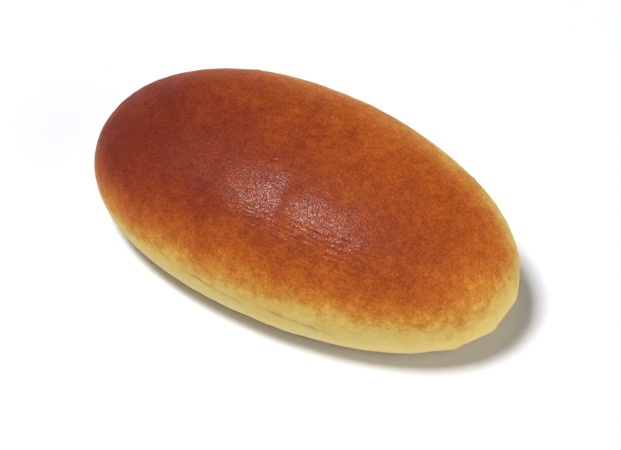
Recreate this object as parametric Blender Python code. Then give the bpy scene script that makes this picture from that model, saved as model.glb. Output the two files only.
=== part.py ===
"""A long soft bread roll: one solid piece, with a smooth dome, a tucked-under side and a flat base.

Metres, +Z up. The length runs along X and the origin is in the middle of the flat base,
at the level of the tray that the roll was baked on. The front end, at +X, is the slimmer one.
The surface is a stack of rings. A heading gives the place round a ring, from the front end
at 0. The tuck's rings lie between the base and the girth, where the roll is widest, and the
dome's rings lie between the girth and the crown, which is its highest point.
"""

import math

import bmesh
import bpy
from mathutils import Vector, noise

# Overall size
LENGTH = 0.138
WIDTH = 0.0766
HEIGHT = 0.0475

# Outline seen from above
OUTLINE_POWER = 2.1  # 2 is an ellipse, and more is boxier
TAPER = 0.042  # share of the half width that the front end loses and the back end gains

# Upright sections
GIRTH_HEIGHT = 0.0155
SIDE_DOME_POWER = 2.29  # across the roll, where the shoulders are fuller
END_DOME_POWER = 2.14  # towards its ends
TUCK_WIDTH = 0.0085  # how far the base draws in under the girth
TUCK_TURN = math.radians(62)  # how far the side has curled under where it meets the tray

# Unevenness of hand-shaped dough
LUMP_HEIGHT = 0.0009
LUMP_SPACING = 0.034
LUMP_PLACE = Vector((5.1, -1.3, 7.2))  # where the roll lies in the endless field of lumps
PLEAT_DEPTH = 0.0016
PLEAT_COUNT = 23  # pleats that would fit round the whole base
PLEAT_START = math.radians(7)  # heading of one of the notches between them
PLEAT_HEADING = math.radians(-14)  # middle of the pleated stretch, at the front end
PLEAT_SPREAD = math.radians(32)

# Mesh
SEGMENTS_PER_PLEAT = 6  # a whole number, so that each notch has a vertex of its own
TUCK_RINGS = 8
DOME_RINGS = 22

# Material
CRUST_COLOUR = (0.42, 0.13, 0.035, 1.0)
CRUST_ROUGHNESS = 0.42
SHARP_EDGE = math.radians(33)  # between the folds of the crust and the edge of the base


def clear_scene():
    for leftover in list(bpy.data.objects):
        bpy.data.objects.remove(leftover)


def signed_power(value, power):
    return math.copysign(abs(value) ** power, value)


def outline(heading):
    """A point of the widest outline and its outward direction, before the taper."""
    cosine, sine = math.cos(heading), math.sin(heading)
    reach = (abs(cosine) ** OUTLINE_POWER + abs(sine) ** OUTLINE_POWER) ** (-1 / OUTLINE_POWER)
    along, across = reach * cosine, reach * sine
    edge = Vector((along * LENGTH / 2, across * WIDTH / 2))
    slope_power = OUTLINE_POWER - 1
    outward = Vector((signed_power(along, slope_power) / LENGTH, signed_power(across, slope_power) / WIDTH))
    return edge, outward.normalized()


def dome_point(heading, climb):
    """Above the girth: climb turns from 0 at the girth to a right angle at the crown."""
    edge, _ = outline(heading)
    power = SIDE_DOME_POWER + (END_DOME_POWER - SIDE_DOME_POWER) * math.cos(heading) ** 2
    shrink = math.cos(climb) ** (2 / power)
    rise = math.sin(climb) ** (2 / power)
    height = GIRTH_HEIGHT + (HEIGHT - GIRTH_HEIGHT) * rise
    return Vector((edge.x * shrink, edge.y * shrink, height))


def pleat(heading):
    """How deeply the dough is pinched in here under the front end, most at each notch."""
    off_middle = (heading - PLEAT_HEADING + math.pi) % math.tau - math.pi
    strength = math.exp(-((off_middle / PLEAT_SPREAD) ** 2))
    return strength * (1 - abs(math.sin(PLEAT_COUNT * (heading - PLEAT_START) / 2)))


def tuck_point(heading, depth):
    """Below the girth: depth runs from 0 at the girth to 1 at the edge of the base."""
    edge, outward = outline(heading)
    turn = TUCK_TURN * depth
    inset = TUCK_WIDTH * (1 - math.cos(turn)) / (1 - math.cos(TUCK_TURN))
    inset += PLEAT_DEPTH * pleat(heading) * depth**2
    height = GIRTH_HEIGHT * (1 - math.sin(turn) / math.sin(TUCK_TURN))
    drawn_in = edge - outward * inset
    return Vector((drawn_in.x, drawn_in.y, height))


def tapered(point):
    """The front end is slimmer than the back end."""
    along = point.x / (LENGTH / 2)
    return Vector((point.x, point.y * (1 - TAPER * along), point.z))


def uneven(point):
    """Moves a point in or out by a soft lump, which fades out towards the tray."""
    middle = Vector((0.0, 0.0, GIRTH_HEIGHT))
    outward = (point - middle).normalized()
    fade = min(point.z / GIRTH_HEIGHT, 1.0)
    lump = noise.noise(point / LUMP_SPACING + LUMP_PLACE)
    return point + outward * LUMP_HEIGHT * lump * fade


def rings_of_points():
    """All the rings from the edge of the base up to the last one below the crown."""
    segments = PLEAT_COUNT * SEGMENTS_PER_PLEAT
    headings = [PLEAT_START + math.tau * segment / segments for segment in range(segments)]
    rings = [
        [tuck_point(heading, 1 - step / TUCK_RINGS) for heading in headings]
        for step in range(TUCK_RINGS)
    ]
    rings += [
        [dome_point(heading, math.pi / 2 * step / DOME_RINGS) for heading in headings]
        for step in range(DOME_RINGS)
    ]
    return [[tapered(uneven(point)) for point in ring] for ring in rings]


def stack_rings(shape):
    """The flat base, the bands between the rings and the small fan round the crown."""
    rings = [[shape.verts.new(point) for point in ring] for ring in rings_of_points()]
    shape.faces.new(reversed(rings[0]))
    for lower, upper in zip(rings, rings[1:]):
        for place in range(len(lower)):
            shape.faces.new((lower[place - 1], lower[place], upper[place], upper[place - 1]))
    crown = shape.verts.new(tapered(uneven(Vector((0.0, 0.0, HEIGHT)))))
    for place in range(len(rings[-1])):
        shape.faces.new((rings[-1][place - 1], rings[-1][place], crown))


def fit_to_size(shape):
    """Centres the roll on the origin and takes out what the lumps added to its named size."""
    low = Vector([min(vertex.co[axis] for vertex in shape.verts) for axis in range(3)])
    high = Vector([max(vertex.co[axis] for vertex in shape.verts) for axis in range(3)])
    size = high - low
    to_middle = Vector((-(low.x + high.x) / 2, -(low.y + high.y) / 2, -low.z))
    bmesh.ops.translate(shape, verts=shape.verts, vec=to_middle)
    bmesh.ops.scale(shape, verts=shape.verts, vec=(LENGTH / size.x, WIDTH / size.y, HEIGHT / size.z))


def roll_mesh():
    shape = bmesh.new()
    stack_rings(shape)
    fit_to_size(shape)
    mesh = bpy.data.meshes.new("roll")
    shape.to_mesh(mesh)
    shape.free()
    mesh.shade_smooth()
    mesh.set_sharp_from_angle(angle=SHARP_EDGE)
    return mesh


def crust_material():
    material = bpy.data.materials.new("crust")
    material.use_nodes = True
    shader = material.node_tree.nodes["Principled BSDF"]
    shader.inputs["Base Color"].default_value = CRUST_COLOUR
    shader.inputs["Roughness"].default_value = CRUST_ROUGHNESS
    shader.inputs["Metallic"].default_value = 0.0
    return material


def make_roll():
    roll = bpy.data.objects.new("roll", roll_mesh())
    roll.data.materials.append(crust_material())
    bpy.context.scene.collection.objects.link(roll)


clear_scene()
make_roll()
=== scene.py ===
# %% [markdown]
# # A soft bread roll with a glossy browned top
#
# A roll looks simple, but four things make it look like bread and not like plastic: the crust
# turns from cream to brown with its slope, the brown is mottled and grainy, the egg wash shines
# in broken patches, and the dough keeps small marks of the hand that shaped it.
# This lesson loads the solid roll, lays a fine skin on it with Geometry Nodes, works the marks
# into the skin as real relief, and then mixes the crust's colours and shine from the slope.

# %% Load the frame
import math
from functools import reduce

import bmesh
import bpy
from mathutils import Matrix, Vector


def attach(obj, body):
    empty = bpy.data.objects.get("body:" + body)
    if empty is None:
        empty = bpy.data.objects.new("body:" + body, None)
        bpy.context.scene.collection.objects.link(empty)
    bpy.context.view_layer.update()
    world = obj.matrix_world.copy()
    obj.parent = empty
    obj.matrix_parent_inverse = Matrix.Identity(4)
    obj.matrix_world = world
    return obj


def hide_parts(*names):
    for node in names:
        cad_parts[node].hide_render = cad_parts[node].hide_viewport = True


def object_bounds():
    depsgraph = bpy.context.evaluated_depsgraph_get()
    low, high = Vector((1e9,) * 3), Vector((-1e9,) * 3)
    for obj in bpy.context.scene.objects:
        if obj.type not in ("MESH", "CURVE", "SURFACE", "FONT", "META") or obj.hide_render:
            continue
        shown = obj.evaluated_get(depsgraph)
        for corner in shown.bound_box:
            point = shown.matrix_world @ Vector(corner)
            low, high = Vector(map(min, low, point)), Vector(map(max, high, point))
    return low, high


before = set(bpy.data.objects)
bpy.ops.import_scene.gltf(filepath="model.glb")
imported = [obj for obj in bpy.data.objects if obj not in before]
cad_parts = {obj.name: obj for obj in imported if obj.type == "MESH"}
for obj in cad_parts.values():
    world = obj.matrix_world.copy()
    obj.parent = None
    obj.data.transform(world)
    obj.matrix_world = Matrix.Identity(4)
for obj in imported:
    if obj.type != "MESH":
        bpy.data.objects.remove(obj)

cad_low, cad_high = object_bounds()
half_length, half_width, height = cad_high.x, cad_high.y, cad_high.z
print(f"roll {2000 * half_length:.1f} x {2000 * half_width:.1f} x {1000 * height:.1f} mm")

# %% [markdown]
# ## The camera
#
# The roll is looked down on from its near side, turned towards the front end. A long lens from
# a metre away keeps the two ends nearly the same size. The camera is placed by its azimuth and
# elevation round a point inside the roll. That point sits a little high and to the left in the
# view, so the aim is moved the other way. Parenting the camera to an empty would also do, but
# a direction worked out once is easier to read.

# %% Camera
CAMERA_AZIMUTH = math.radians(29.5)
CAMERA_ELEVATION = math.radians(50)
CAMERA_DISTANCE = 1.0
SENSOR_WIDTH = 36.0
VIEW_WIDTH = 0.18466  # how much of the table the view takes in at the roll
AIM_HEIGHT = 0.022
AIM_TO_RIGHT = 0.00147
AIM_DOWN = 0.00746


def away(azimuth, elevation):
    """The direction from the roll towards a viewer at this azimuth and elevation."""
    level = math.cos(elevation)
    return Vector((math.sin(azimuth) * level, -math.cos(azimuth) * level, math.sin(elevation)))


def make_camera():
    back = away(CAMERA_AZIMUTH, CAMERA_ELEVATION)
    right = Vector((math.cos(CAMERA_AZIMUTH), math.sin(CAMERA_AZIMUTH), 0.0))
    up = back.cross(right)
    aim = Vector((0.0, 0.0, AIM_HEIGHT)) + right * AIM_TO_RIGHT - up * AIM_DOWN
    data = bpy.data.cameras.new("camera")
    data.sensor_width = SENSOR_WIDTH
    data.lens = SENSOR_WIDTH * CAMERA_DISTANCE / VIEW_WIDTH
    camera = bpy.data.objects.new("camera", data)
    camera.location = aim + back * CAMERA_DISTANCE
    camera.rotation_euler = (-back).to_track_quat("-Z", "Y").to_euler()
    bpy.context.scene.collection.objects.link(camera)
    bpy.context.scene.camera = camera
    return camera


camera = make_camera()
print(f"lens {camera.data.lens:.0f} mm")

# %% [markdown]
# ## Node sums in Python
#
# Both the skin and the crust are made of nodes. Linking them by hand takes many lines, so one
# small class wraps a socket and takes over Python's own signs: `1 - mask` adds a Math node and
# returns its output. Every other node comes from one method, which sets the node's settings
# first and then fills or links its sockets. The same class serves both kinds of tree.

# %% Node sums


def both_ways(operation):
    """A sum and its reflected form, for a number on the left."""

    def forward(self, other):
        return self.math(operation, self, other)

    def reflected(self, other):
        return self.math(operation, other, self)

    return forward, reflected


class Wire:
    """A socket that sums can be written with. Without a socket it only adds nodes to its tree."""

    __add__, __radd__ = both_ways("ADD")
    __sub__, __rsub__ = both_ways("SUBTRACT")
    __mul__, __rmul__ = both_ways("MULTIPLY")
    __truediv__, __rtruediv__ = both_ways("DIVIDE")

    def __init__(self, tree, socket=None):
        self.tree = tree
        self.socket = socket

    def node(self, kind, settings=None, sockets=None, output=None):
        """Adds a node of any kind, and returns the named output, or else its first one."""
        added = self.tree.nodes.new(kind)
        for name, value in (settings or {}).items():
            if name == "stops":
                set_stops(added.color_ramp, value)
            else:
                setattr(added, name, value)
        for name, value in (sockets or {}).items():
            if isinstance(value, Wire):
                self.tree.links.new(value.socket, socket_of(added.inputs, name))
            else:
                socket_of(added.inputs, name).default_value = value
        return Wire(self.tree, socket_of(added.outputs, output)) if added.outputs else None

    def also(self, output):
        """Another output of the node that this wire comes from."""
        return Wire(self.tree, socket_of(self.socket.node.outputs, output))

    def math(self, operation, *values):
        return self.node("ShaderNodeMath", {"operation": operation}, dict(enumerate(values)))

    def vector(self, operation, *values, output="Vector"):
        settings = {"operation": operation}
        return self.node("ShaderNodeVectorMath", settings, dict(enumerate(values)), output)

    def bell(self, width):
        """1 where this value is 0, falling away over the width to either side."""
        share = self / width
        return self.math("EXPONENT", share * share * -1)

    def ease(self, start, end):
        """0 at the start, 1 at the end, and smooth between them."""
        sockets = {"Value": self, "From Min": start, "From Max": end}
        return self.node("ShaderNodeMapRange", {"interpolation_type": "SMOOTHSTEP"}, sockets)

    def at_least(self, lowest):
        return self.math("MAXIMUM", self, lowest)

    def noise(self, place, spacing, detail=0.0, roughness=0.5):
        """Soft lumps about this far apart, from -1 to 1."""
        sockets = {"Vector": place, "Scale": 1 / spacing, "Detail": detail, "Roughness": roughness}
        return self.node("ShaderNodeTexNoise", {}, sockets) * 2 - 1


def socket_of(sockets, key):
    """A socket by its number, or by its name among those that the node's settings switch on."""
    if isinstance(key, int):
        return sockets[key]
    return next(socket for socket in sockets if socket.enabled and key in (None, socket.name))


def set_stops(ramp, stops):
    """Fills a colour ramp, whose two first stops can be moved but not taken away."""
    while len(ramp.elements) < len(stops):
        ramp.elements.new(1.0)
    for element, (place, colour) in zip(ramp.elements, stops):
        element.position = place
        element.color = (*colour, 1.0)


print("node sums ready")

# %% [markdown]
# ## A fine skin on the solid roll
#
# The solid roll is made of small flat faces. Subdividing them would keep their long thin
# triangles and their flat look. A box of even squares is better: each of its points is sent out
# to a sphere, stretched to the roll's size, and then shot back at the solid until it hits it.
# The result is an even skin with no pole. A few rounds of Blur Attribute then melt away the
# solid's flat faces and round off the edge of the base, as dough does by itself.

# %% Skin settings
SKIN_INPUTS = {
    "Points along": ("NodeSocketInt", 205),
    "Points across": ("NodeSocketInt", 117),
    "Points up": ("NodeSocketInt", 72),
    "Melting rounds": ("NodeSocketInt", 16),
    "Swell height": ("NodeSocketFloat", 0.00016),
    "Wrinkle height": ("NodeSocketFloat", 0.00005),
    "Dent depth": ("NodeSocketFloat", 0.00026),
    "Crease depth": ("NodeSocketFloat", 0.00035),
    "Pleat depth": ("NodeSocketFloat", 0.00100),
    "Blister height": ("NodeSocketFloat", 0.00022),
    "Seed": ("NodeSocketInt", 7),
}
RAY_REACH = 3.0  # rays start this many times half the roll's size from its middle


def new_skin_tree():
    tree = bpy.data.node_groups.new("roll skin", "GeometryNodeTree")
    tree.interface.new_socket("Solid", in_out="INPUT", socket_type="NodeSocketGeometry")
    for name, (kind, value) in SKIN_INPUTS.items():
        socket = tree.interface.new_socket(name, in_out="INPUT", socket_type=kind)
        socket.default_value = value
    tree.interface.new_socket("Skin", in_out="OUTPUT", socket_type="NodeSocketGeometry")
    return tree


skin_tree = new_skin_tree()
pen = Wire(skin_tree)
given = pen.node("NodeGroupInput", output="Solid")
print(f"{len(SKIN_INPUTS)} named inputs")

# %% Wrap the skin round the solid


def moved(skin, place):
    return pen.node("GeometryNodeSetPosition", sockets={"Geometry": skin, "Position": place})


def wrapped_skin():
    """An even skin of squares on the solid's surface, with the solid's flat faces melted away."""
    sockets = {
        "Size": (2.0, 2.0, 2.0),
        "Vertices X": given.also("Points along"),
        "Vertices Y": given.also("Points across"),
        "Vertices Z": given.also("Points up"),
    }
    box = pen.node("GeometryNodeMeshCube", sockets=sockets, output="Mesh")
    place = pen.node("GeometryNodeInputPosition")
    even = pen.vector("TANGENT", pen.vector("MULTIPLY", place, (math.pi / 4,) * 3))
    ball = pen.vector("NORMALIZE", even)
    middle = Vector((0.0, 0.0, height / 2))
    reach = Vector((half_length, half_width, height / 2)) * RAY_REACH
    start = pen.vector("ADD", pen.vector("MULTIPLY", ball, reach), middle)
    sockets = {
        "Target Geometry": given,
        "Source Position": start,
        "Ray Direction": pen.vector("SUBTRACT", middle, start),
        "Ray Length": 2 * RAY_REACH * half_length,
    }
    hit = pen.node("GeometryNodeRaycast", sockets=sockets, output="Hit Position")
    skin = moved(box, hit)
    sockets = {"Value": place, "Iterations": given.also("Melting rounds")}
    melted = pen.node("GeometryNodeBlurAttribute", {"data_type": "FLOAT_VECTOR"}, sockets)
    return moved(skin, melted)


skin = wrapped_skin()
place = pen.node("GeometryNodeInputPosition")
x = pen.node("ShaderNodeSeparateXYZ", sockets={"Vector": place}, output="X")
y, z = x.also("Y"), x.also("Z")
heading = pen.math("ARCTAN2", y / half_width, x / half_length)
outward = pen.node("GeometryNodeInputNormal", output="Normal")
facing_up = pen.node("ShaderNodeSeparateXYZ", sockets={"Vector": outward}, output="Z")
facing_far = facing_up.also("Y")


def near(point, centre, radius):
    """1 at the centre, falling away over the radius."""
    return pen.vector("DISTANCE", point, centre, output="Value").bell(radius)


print("skin wrapped")

# %% [markdown]
# ## The marks of the hand and the oven
#
# Each mark is a height field: a number for every point of the skin that says how far it stands
# out. They are added up and the skin is moved once along its own normals. The alternative is
# to sculpt by hand, which nobody could repeat or resize.
#
# - Swells: the slow unevenness of a risen dough, which breaks the shine into patches.
# - Wrinkles: fine lengthwise lines on the near shoulder, where the crust shrank as it cooled.
# - A dent across the top, and a small hollow below it.
# - A crease along the near side at the girth, in two strokes, where the dough was rolled shut.
# - Pleats round the front end, where the tuck was pinched.
# - Blisters: gas bubbles under the crust, scattered with a fixed seed.

# %% Swells and wrinkles
SWELL_SPACING = 0.0065
FINE_SWELL_SPACING = 0.0028
FINE_SWELL_SHARE = 0.35
WRINKLE_SPACING = 0.0019
WRINKLE_STRETCH = 0.16  # the wrinkles are this much slower along the roll than across it
WRINKLES_X = 0.026
WRINKLES_LENGTH = 0.026
WRINKLES_Y = -0.026
WRINKLES_WIDTH = 0.009


def swells():
    slow = pen.noise(place, SWELL_SPACING)
    fine = pen.noise(place, FINE_SWELL_SPACING)
    return (slow + fine * FINE_SWELL_SHARE) * given.also("Swell height")


def wrinkles():
    stretched = pen.vector("MULTIPLY", place, (WRINKLE_STRETCH, 1.0, 1.0))
    lines = pen.noise(stretched, WRINKLE_SPACING)
    shoulder = (x - WRINKLES_X).bell(WRINKLES_LENGTH) * (y - WRINKLES_Y).bell(WRINKLES_WIDTH)
    return lines * shoulder * given.also("Wrinkle height")


print("swells and wrinkles")

# %% The dent and the hollow
DENT_X = 0.0046
DENT_WIDTH = 0.0017
DENT_WANDER = 0.0019
DENT_WANDER_SPACING = 0.0055
DENT_NEAR_END = (-0.029, -0.023)  # the dent fades in over this stretch of Y
DENT_FAR_END = (-0.012, -0.006)  # and out over this one
DENT_LOWEST = (0.030, 0.036)  # and it fades in over these heights
HOLLOW = (0.0078, -0.0262, 0.0405)
HOLLOW_RADIUS = 0.0026


def dented():
    """How deep in the dent or the hollow a point is, from 0 to about 1."""
    wander = pen.noise(place, DENT_WANDER_SPACING) * DENT_WANDER
    across = (x - DENT_X + wander).bell(DENT_WIDTH)
    along = y.ease(*DENT_NEAR_END) * (1 - y.ease(*DENT_FAR_END))
    above = z.ease(*DENT_LOWEST)
    return across * along * above + near(place, HOLLOW, HOLLOW_RADIUS)


print("dent and hollow")

# %% The crease with its flap
CREASE_WIDTH = 0.00050
CREASE_BREAKS = 0.9  # how strongly the crease comes and goes along its length
CREASE_BREAK_SPACING = 0.0035
CREASE_WANDER = 0.0004
CREASE_WANDER_SPACING = 0.004
LEDGE_WIDTH = 0.0035  # the dough below the crease lies back over this height
LEDGE_SHARE = 0.55
CREASE_STROKES = (  # first heading, last heading, height at the first, height at the last
    (math.radians(-109), math.radians(-88), 0.0166, 0.0138),
    (math.radians(-86), math.radians(-63), 0.0161, 0.0130),
)
STROKE_FADE = math.radians(5)
FLAP = (0.0240, -0.0362, 0.0141)
FLAP_RADIUS = 0.0011
FLAP_SHARE = 1.6


def crease_stroke(first, last, first_height, last_height):
    """How strongly a point lies in the stroke, and how far it is above the stroke's line."""
    slope = (last_height - first_height) / (last - first)
    line = (heading - first) * slope + first_height
    there = heading.ease(first, first + STROKE_FADE) * (1 - heading.ease(last - STROKE_FADE, last))
    breaks = (1 + pen.noise(place, CREASE_BREAK_SPACING) * CREASE_BREAKS).at_least(0.0)
    return there * breaks, z - line + pen.noise(place, CREASE_WANDER_SPACING) * CREASE_WANDER


def crease():
    """The crease's relief with its flap, and where the groove runs, for its painted shade."""
    grooves, ledges = [], []
    for stroke in CREASE_STROKES:
        there, above = crease_stroke(*stroke)
        grooves.append(above.bell(CREASE_WIDTH) * there)
        ledge = (1 - above.ease(-CREASE_WIDTH, 0.0)) * above.ease(-LEDGE_WIDTH, 0.0)
        ledges.append(ledge * there)
    groove = sum(grooves)
    flap = near(place, FLAP, FLAP_RADIUS)
    relief = flap * FLAP_SHARE - groove - sum(ledges) * LEDGE_SHARE
    return relief * given.also("Crease depth"), groove


print(f"{len(CREASE_STROKES)} crease strokes")

# %% The pleats round the front end
PLEATS_ROUND = 23  # as many as would fit round the whole roll
PLEAT_PITCH = math.tau / PLEATS_ROUND
PLEAT_START = math.radians(7)
PLEAT_MIDDLE = math.radians(-11)
PLEAT_SPREAD = math.radians(24)
PLEAT_TOP = 0.0235  # the pleats fade out at this height
PLEAT_FULL = 0.0145  # and are fully deep below this one
PLEAT_RISE = 0.6  # the corners stand out by a little, so that the roll keeps its size
NOTCH_SHARE = 1.0
NOTCH_WIDTH = 0.16  # of the pitch


def pleats():
    """Flats between corners, with a nick beside each corner, low round the front end."""
    turn = pen.math("FRACT", (heading - PLEAT_START) / PLEAT_PITCH)
    flat = turn * (1 - turn) * 4
    nick = turn.bell(NOTCH_WIDTH)
    there = (heading - PLEAT_MIDDLE).bell(PLEAT_SPREAD) * (1 - z.ease(PLEAT_FULL, PLEAT_TOP))
    return (PLEAT_RISE - flat - nick * NOTCH_SHARE) * there * given.also("Pleat depth")


print(f"a pleat every {math.degrees(PLEAT_PITCH):.0f} degrees")

# %% Blisters
BLISTER_KINDS = (  # how many to the square metre, radius, share of the full height
    (4200.0, 0.0006, 0.6),
    (1100.0, 0.0010, 1.0),
)
BLISTERED = (0.3, 0.5)  # they come in between these shares of the roll's height


def blisters(skin):
    """Small domes round points scattered on the upper crust."""
    blistered = z.ease(*(height * share for share in BLISTERED))
    domes = []
    for number, (density, radius, share) in enumerate(BLISTER_KINDS):
        sockets = {"Mesh": skin, "Density": blistered * density, "Seed": given.also("Seed") + number}
        points = pen.node("GeometryNodeDistributePointsOnFaces", sockets=sockets, output="Points")
        to_points = {"target_element": "POINTS"}
        gap = pen.node("GeometryNodeProximity", to_points, {"Geometry": points}, "Distance")
        domes.append(gap.bell(radius) * share)
    return sum(domes) * given.also("Blister height")


print(f"{len(BLISTER_KINDS)} kinds of blister")

# %% [markdown]
# ## How far each place has baked
#
# The crust browns where the oven's top heat falls on it, so the slope of the surface decides
# nearly everything: flat places are brown, steep ones golden, and what faces down stays cream.
# This roll lay nearer the hot side of the oven with its back end and its near side, so the
# heat's direction leans that way. The tray browns the base from below.
# The egg wash was brushed on the upper side and ran together in a few pools, but not in the
# dent. Both values are stored on the skin as attributes, because the slope of the smooth skin
# is wanted, before the small marks disturb it. The material only reads them.
# One paler patch on the front shoulder, where it faces the light, is partly a paler bake and partly
# painted sheen.

# %% Baking
HEAT_LEAN = Vector((-0.10, -0.38, 1.0))
BACK_END_SHARE = 0.05  # how much more the back end has baked than the middle
FRONT_END_SHARE = 0.04  # and how much less the front end has
FRONT_END = (0.5, 1.0)  # it comes in between these shares of half the length
BOTH_ENDS_SHARE = 0.25  # thin ends heat through sooner than the middle
SHADED_SHARE = 0.06
FAR_SIDE_SHARE = 0.10  # the oven's wall gives some heat back to the far side
# a paler patch on the front shoulder, facing the light: partly a paler bake, partly painted sheen
PALE_SHEEN_PATCH = (0.0615, -0.0110, 0.0285)
PALE_SHEEN_PATCH_RADIUS = 0.0085
PALE_SHEEN_PATCH_SHARE = 0.15
BORDER_BAKE = 0.50  # the middle of the border between golden and brown
BACK_END_CONTRAST = 0.32  # the hotter back end browned faster, so its border is narrower
CONTRASTED = (0.1, -0.8)  # shares of half the length, towards the back end
GOLDEN_END_SHARE = 0.32  # the front end is golden where the sides are already cream
GOLDEN_END = (0.3, 0.9)
BASE_BAKE = 0.62
TRAY_BROWNED = (0.0002, 0.0022)  # heights over which the tray's browning fades
FACING_TRAY = (-0.95, -0.6)


def stored(skin, name, value):
    sockets = {"Geometry": skin, "Name": name, "Value": value}
    return pen.node("GeometryNodeStoreNamedAttribute", {"data_type": "FLOAT"}, sockets)


def baked():
    """How far each place has baked: about 0 where it is cream, and 1 where it is dark brown."""
    along = x / half_length
    bake = pen.vector("DOT_PRODUCT", outward, HEAT_LEAN, output="Value")
    ends = along * along * along * along * BOTH_ENDS_SHARE
    bake = bake - along * BACK_END_SHARE + ends - SHADED_SHARE
    bake = bake + facing_far.at_least(0.0) * FAR_SIDE_SHARE
    # partly painted sheen: the front shoulder is made paler here
    bake = bake - near(place, PALE_SHEEN_PATCH, PALE_SHEEN_PATCH_RADIUS) * PALE_SHEEN_PATCH_SHARE
    bake = bake - along.ease(*FRONT_END) * FRONT_END_SHARE
    bake = bake + (bake - BORDER_BAKE) * along.ease(*CONTRASTED) * BACK_END_CONTRAST
    missing = (BORDER_BAKE - bake).at_least(0.0)
    bake = bake + missing * along.ease(*GOLDEN_END) * GOLDEN_END_SHARE
    on_tray = (1 - z.ease(*TRAY_BROWNED)) * (1 - facing_up.ease(*FACING_TRAY))
    return bake + (BASE_BAKE - bake) * on_tray


print("baking rule ready")

# %% Egg wash
WASH_POOLS = (  # where the wash ran together: place and radius
    ((-0.0030, -0.0230, 0.0422), 0.0082),
    ((-0.0005, -0.0150, 0.0456), 0.0045),
    ((0.0125, -0.0215, 0.0430), 0.0072),
    ((0.0235, -0.0225, 0.0408), 0.0070),
)
WASH_THIN = 0.14  # of the full shine, where it is only brushed on
WASHED_SLOPE = (0.62, 0.86)  # how far a place has to face up to be washed
DENT_DRYNESS = 0.9
RAGGED_SPACING = 0.0045
RAGGED_PUSH = 0.007


def shaken_place():
    """Each point's place, pushed about a little, which gives the pools ragged edges."""
    sockets = {"Vector": place, "Scale": 1 / RAGGED_SPACING, "Detail": 1.0}
    push = pen.node("ShaderNodeTexNoise", {}, sockets, "Color")
    push = pen.vector("SUBTRACT", push, (0.5, 0.5, 0.5))
    return pen.vector("ADD", place, pen.vector("MULTIPLY", push, (RAGGED_PUSH,) * 3))


def washed(dent_depth):
    """How thick the egg wash lies: none on the steep sides, and most where it ran together."""
    ragged = shaken_place()
    pools = reduce(Wire.at_least, [near(ragged, *pool) for pool in WASH_POOLS])
    clear_of_dent = (1 - dent_depth * DENT_DRYNESS).at_least(0.0)
    return facing_up.ease(*WASHED_SLOPE) * (pools + WASH_THIN) * clear_of_dent


print(f"{len(WASH_POOLS)} pools of wash")

# %% Put the marks on the skin
MARKED = (0.0004, 0.004)  # heights over which the marks come in above the tray
PLEATED = (0.0, 0.002)


def crust_material_slot():
    """The crust's material, still plain here: its nodes come further down."""
    material = bpy.data.materials.new("egg-washed crust")
    material.use_nodes = True
    return material


crust = crust_material_slot()


def marked_skin(skin):
    crease_relief, crease_shade = crease()
    skin = stored(skin, "baked", baked())
    # where the crease's groove runs, kept for the painted shade in the crust's colour
    skin = stored(skin, "crease", crease_shade)
    dent_depth = dented()
    skin = stored(skin, "washed", washed(dent_depth))
    relief = swells() + wrinkles() - dent_depth * given.also("Dent depth") + crease_relief
    relief = (relief + blisters(skin)) * z.ease(*MARKED) + pleats() * z.ease(*PLEATED)
    offset = pen.node("ShaderNodeVectorMath", {"operation": "SCALE"}, {0: outward, "Scale": relief})
    sockets = {"Geometry": skin, "Offset": offset}
    skin = pen.node("GeometryNodeSetPosition", sockets=sockets)
    above_tray = pen.vector("MAXIMUM", place, (-1.0, -1.0, 0.0))
    skin = moved(skin, above_tray)
    skin = pen.node("GeometryNodeSetShadeSmooth", sockets={"Geometry": skin})
    skin = pen.node("GeometryNodeRealizeInstances", sockets={"Geometry": skin})
    return pen.node("GeometryNodeSetMaterial", sockets={"Geometry": skin, "Material": crust})


pen.node("NodeGroupOutput", sockets={"Skin": marked_skin(skin)})
print(f"{len(skin_tree.nodes)} nodes in the skin's tree")

# %% [markdown]
# ## From nodes to a plain mesh
#
# The solid's mesh comes as loose triangles, so a copy has its doubles merged first. The copy
# carries the modifier. Its inputs are set by the sockets' identifiers, because names may
# repeat. The evaluated result is kept as a plain mesh, and the modifier goes.

# %% Make the mesh
MERGE_DISTANCE = 1e-6


def solid_copy(node):
    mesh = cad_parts[node].data.copy()
    shape = bmesh.new()
    shape.from_mesh(mesh)
    bmesh.ops.remove_doubles(shape, verts=shape.verts, dist=MERGE_DISTANCE)
    shape.to_mesh(mesh)
    shape.free()
    copy = bpy.data.objects.new("crust", mesh)
    bpy.context.scene.collection.objects.link(copy)
    return copy


def grown(piece, tree, inputs):
    """Runs the tree on the piece and keeps the result as its plain mesh."""
    modifier = piece.modifiers.new(tree.name, "NODES")
    modifier.node_group = tree
    for item in tree.interface.items_tree:
        if item.name in inputs:
            modifier[item.identifier] = inputs[item.name][1]
    depsgraph = bpy.context.evaluated_depsgraph_get()
    evaluated = piece.evaluated_get(depsgraph)
    mesh = bpy.data.meshes.new_from_object(
        evaluated, preserve_all_data_layers=True, depsgraph=depsgraph
    )
    piece.modifiers.remove(modifier)
    piece.data = mesh
    return piece


roll = grown(solid_copy("roll"), skin_tree, SKIN_INPUTS)
print(f"{len(roll.data.polygons)} squares, {len(roll.data.vertices)} points")
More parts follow.
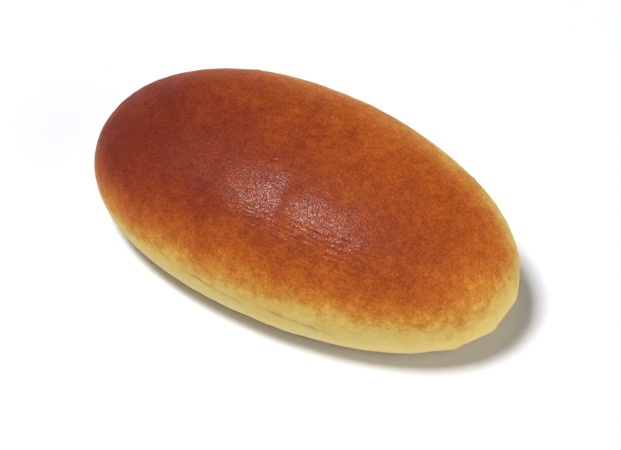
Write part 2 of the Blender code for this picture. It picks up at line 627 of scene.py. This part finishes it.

# %% [markdown]
# ## The crust
#
# One material covers the whole roll, because cream side and brown top are the same dough.
# The stored baking is disturbed by noise at three sizes, so that the border between the colours
# is mottled, and then a colour ramp turns it into colour. The egg wash is a second, glossier
# shader of the same colour, mixed in where the wash lies thick and broken up by a fine sparkle.
# A clear coat would be the usual way, but it would lie too smooth over this grainy crust.
# The finest grain is only a bump: it is far smaller than the skin's squares.
# The shade in the crease's groove is painted into the colour, as a darker tint.

# %% Crust colours
BAKE_COLOURS = (  # baked value, colour
    (-0.30, (0.84, 0.68, 0.31)),
    (0.05, (0.84, 0.645, 0.235)),
    (0.25, (0.81, 0.60, 0.16)),
    (0.36, (0.76, 0.48, 0.105)),
    (0.48, (0.66, 0.27, 0.033)),
    (0.62, (0.54, 0.150, 0.018)),
    (0.75, (0.45, 0.098, 0.012)),
    (0.90, (0.33, 0.060, 0.010)),
    (1.02, (0.255, 0.039, 0.010)),
    (1.20, (0.18, 0.023, 0.009)),
)
BAKE_LOW = BAKE_COLOURS[0][0]
BAKE_HIGH = BAKE_COLOURS[-1][0]
MOTTLING = (  # spacing, detail, roughness, share of the baked value
    (0.0130, 2.0, 0.5, 0.16),  # patches
    (0.0030, 3.0, 0.6, 0.18),  # mottle
    (0.0009, 3.0, 0.8, 0.16),  # grain
)
SPECK_SPACING = 0.0007
SPECK_DEPTH = 0.85
SPECKED = (0.25, 0.70)  # baked values between which the specks come in
# painted shade: the dark tint laid along the crease's groove
CREASE_SHADE_COLOUR = (0.36, 0.22, 0.10)
CREASE_SHADE_TINT = 0.55

paint = Wire(crust.node_tree)
crust.node_tree.nodes.clear()
spot = paint.node("ShaderNodeTexCoord", output="Object")


def attribute(name):
    return paint.node("ShaderNodeAttribute", {"attribute_name": name}, output="Fac")


def blended(factor, first, second):
    """A colour between two others."""
    sockets = {"Factor": factor, "A": first, "B": second}
    return paint.node("ShaderNodeMix", {"data_type": "RGBA"}, sockets)


def mottled_bake():
    bake = attribute("baked")
    for spacing, detail, roughness, share in MOTTLING:
        bake = bake + paint.noise(spot, spacing, detail, roughness) * share
    return bake


def crust_colour(bake):
    span = BAKE_HIGH - BAKE_LOW
    stops = [((value - BAKE_LOW) / span, colour) for value, colour in BAKE_COLOURS]
    sockets = {"Fac": (bake - BAKE_LOW) / span}
    ramp = paint.node("ShaderNodeValToRGB", {"stops": stops}, sockets, "Color")
    on_brown = bake.ease(*SPECKED) * SPECK_DEPTH
    specks = 1 + paint.noise(spot, SPECK_SPACING, 2.0, 0.8) * on_brown
    speckled = paint.vector("MULTIPLY", ramp, specks)
    # painted shade: the crust is darkened along the crease's groove
    return blended(attribute("crease") * CREASE_SHADE_TINT, speckled, (*CREASE_SHADE_COLOUR, 1.0))


bake = mottled_bake()
colour = crust_colour(bake)
print(f"{len(BAKE_COLOURS)} steps of browning")

# %% Crust relief
COARSE_GRAIN_SPACING = 0.0006
FINE_GRAIN_SPACING = 0.00036
COARSE_SHARE = 0.6
FINE_SHARE = 0.4
LINE_SPACING = 0.0009
LINE_SHARE = 0.3  # everywhere
LINED_SHARE = 1.3  # and this much more along the near shoulder
LINED_X = 0.026
LINED_LENGTH = 0.022
LINED_Y = -0.0265
LINED_WIDTH = 0.006
GRAIN_DEPTH = 0.00013


def grain_height():
    """The fine grain of the crust, with lengthwise lines that show most on the near shoulder."""
    coarse = paint.noise(spot, COARSE_GRAIN_SPACING, 1.0)
    fine = paint.noise(spot, FINE_GRAIN_SPACING)
    stretched = paint.vector("MULTIPLY", spot, (WRINKLE_STRETCH, 1.0, 1.0))
    lines = paint.noise(stretched, LINE_SPACING)
    along = paint.node("ShaderNodeSeparateXYZ", sockets={"Vector": spot}, output="X")
    shoulder = (along - LINED_X).bell(LINED_LENGTH) * (along.also("Y") - LINED_Y).bell(LINED_WIDTH)
    lines = lines * (shoulder * LINED_SHARE + LINE_SHARE)
    return coarse * COARSE_SHARE + fine * FINE_SHARE + lines


grain = {"Strength": 1.0, "Distance": GRAIN_DEPTH, "Height": grain_height()}
normal = paint.node("ShaderNodeBump", sockets=grain)
print("grain and lines")

# %% Crust shine
DRY_ROUGHNESS = 0.6
DRY_SPECULAR = 0.10
WASHED_ROUGHNESS = 0.25
WASHED_SPECULAR = 0.50
PATCHY_SPACING = 0.006
PATCHY_ROUGHNESS = 0.10  # how much the patches change the washed roughness
PATCHY_WASH = 0.9  # and the thickness of the wash
SPARKLE_SPACING = 0.00030
SPARKLING = (-0.38, 0.28)  # noise values between which the wash shows


def crust_surface(roughness, specular):
    sockets = {
        "Base Color": colour,
        "Roughness": roughness,
        "Specular IOR Level": specular,
        "Normal": normal,
    }
    return paint.node("ShaderNodeBsdfPrincipled", sockets=sockets)


def crust_shader():
    """The dry crust, with the glossy one mixed in where the wash lies."""
    patchy = paint.noise(spot, PATCHY_SPACING, 2.0)
    sparkle = paint.noise(spot, SPARKLE_SPACING).ease(*SPARKLING)
    wash = attribute("washed") * (PATCHY_WASH + patchy * PATCHY_WASH) * sparkle
    dry_crust = crust_surface(DRY_ROUGHNESS, DRY_SPECULAR)
    washed_crust = crust_surface(WASHED_ROUGHNESS + patchy * PATCHY_ROUGHNESS, WASHED_SPECULAR)
    both = paint.node("ShaderNodeMixShader", sockets={0: wash, 1: dry_crust, 2: washed_crust})
    paint.node("ShaderNodeOutputMaterial", sockets={"Surface": both})


crust_shader()
print(f"{len(crust.node_tree.nodes)} nodes in the crust")

# %% Join the roll to the frame
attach(roll, "root")
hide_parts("roll")
print("the crust rides on the root")

# %% [markdown]
# ## Table and light
#
# A pale plain floor, one big soft lamp almost overhead, and a dim sky with one bright white
# screen low in it, off the roll's front end. The lamp leans to the left, so its shine falls on
# the near shoulder and its soft shadow to the right. An evenly bright sky would lay a white veil
# over the brown crust, because every slope mirrors some part of it. A low screen off the front
# end lights that end without veiling the top.

# %% Floor
FLOOR_SIZE = 6.0
FLOOR_COLOUR = (0.90, 0.915, 0.985, 1.0)
FLOOR_ROUGHNESS = 0.9
FLOOR_SPECULAR = 0.1


def make_floor():
    mesh = bpy.data.meshes.new("floor")
    edge = FLOOR_SIZE / 2
    corners = [(-edge, -edge, 0.0), (edge, -edge, 0.0), (edge, edge, 0.0), (-edge, edge, 0.0)]
    mesh.from_pydata(corners, [], [(0, 1, 2, 3)])
    material = bpy.data.materials.new("pale floor")
    material.use_nodes = True
    shader = material.node_tree.nodes["Principled BSDF"]
    shader.inputs["Base Color"].default_value = FLOOR_COLOUR
    shader.inputs["Roughness"].default_value = FLOOR_ROUGHNESS
    shader.inputs["Specular IOR Level"].default_value = FLOOR_SPECULAR
    mesh.materials.append(material)
    floor = bpy.data.objects.new("floor", mesh)
    bpy.context.scene.collection.objects.link(floor)
    return floor


make_floor()
print("floor laid")

# %% Light
LAMP_DIRECTION = Vector((-0.27, -0.17, 0.96))
LAMP_DISTANCE = 2.5
LAMP_SIZE = 0.68
LAMP_POWER = 64.0
SKY_STRENGTH = 0.04
SCREEN_STRENGTH = 2.0
SCREEN_DIRECTION = away(math.radians(84), math.radians(8))
SCREEN_EDGE = math.cos(math.radians(44))  # where the screen begins to show
SCREEN_FULL = math.cos(math.radians(20))  # where it is fully bright


def make_lamp():
    data = bpy.data.lights.new("soft lamp", "AREA")
    data.shape = "SQUARE"
    data.size = LAMP_SIZE
    data.energy = LAMP_POWER
    lamp = bpy.data.objects.new("soft lamp", data)
    lamp.location = LAMP_DIRECTION.normalized() * LAMP_DISTANCE
    lamp.rotation_euler = LAMP_DIRECTION.to_track_quat("Z", "Y").to_euler()
    bpy.context.scene.collection.objects.link(lamp)


def make_sky():
    world = bpy.data.worlds.new("sky")
    world.use_nodes = True
    world.node_tree.nodes.clear()
    sky = Wire(world.node_tree)
    direction = sky.node("ShaderNodeTexCoord", output="Generated")
    nearness = sky.vector("DOT_PRODUCT", direction, SCREEN_DIRECTION, output="Value")
    strength = SKY_STRENGTH + nearness.ease(SCREEN_EDGE, SCREEN_FULL) * SCREEN_STRENGTH
    white = {"Color": (1.0, 1.0, 1.0, 1.0), "Strength": strength}
    shine = sky.node("ShaderNodeBackground", sockets=white)
    sky.node("ShaderNodeOutputWorld", sockets={"Surface": shine})
    bpy.context.scene.world = world


make_lamp()
make_sky()
bpy.context.scene.view_settings.view_transform = "Standard"
print("lamp and sky")
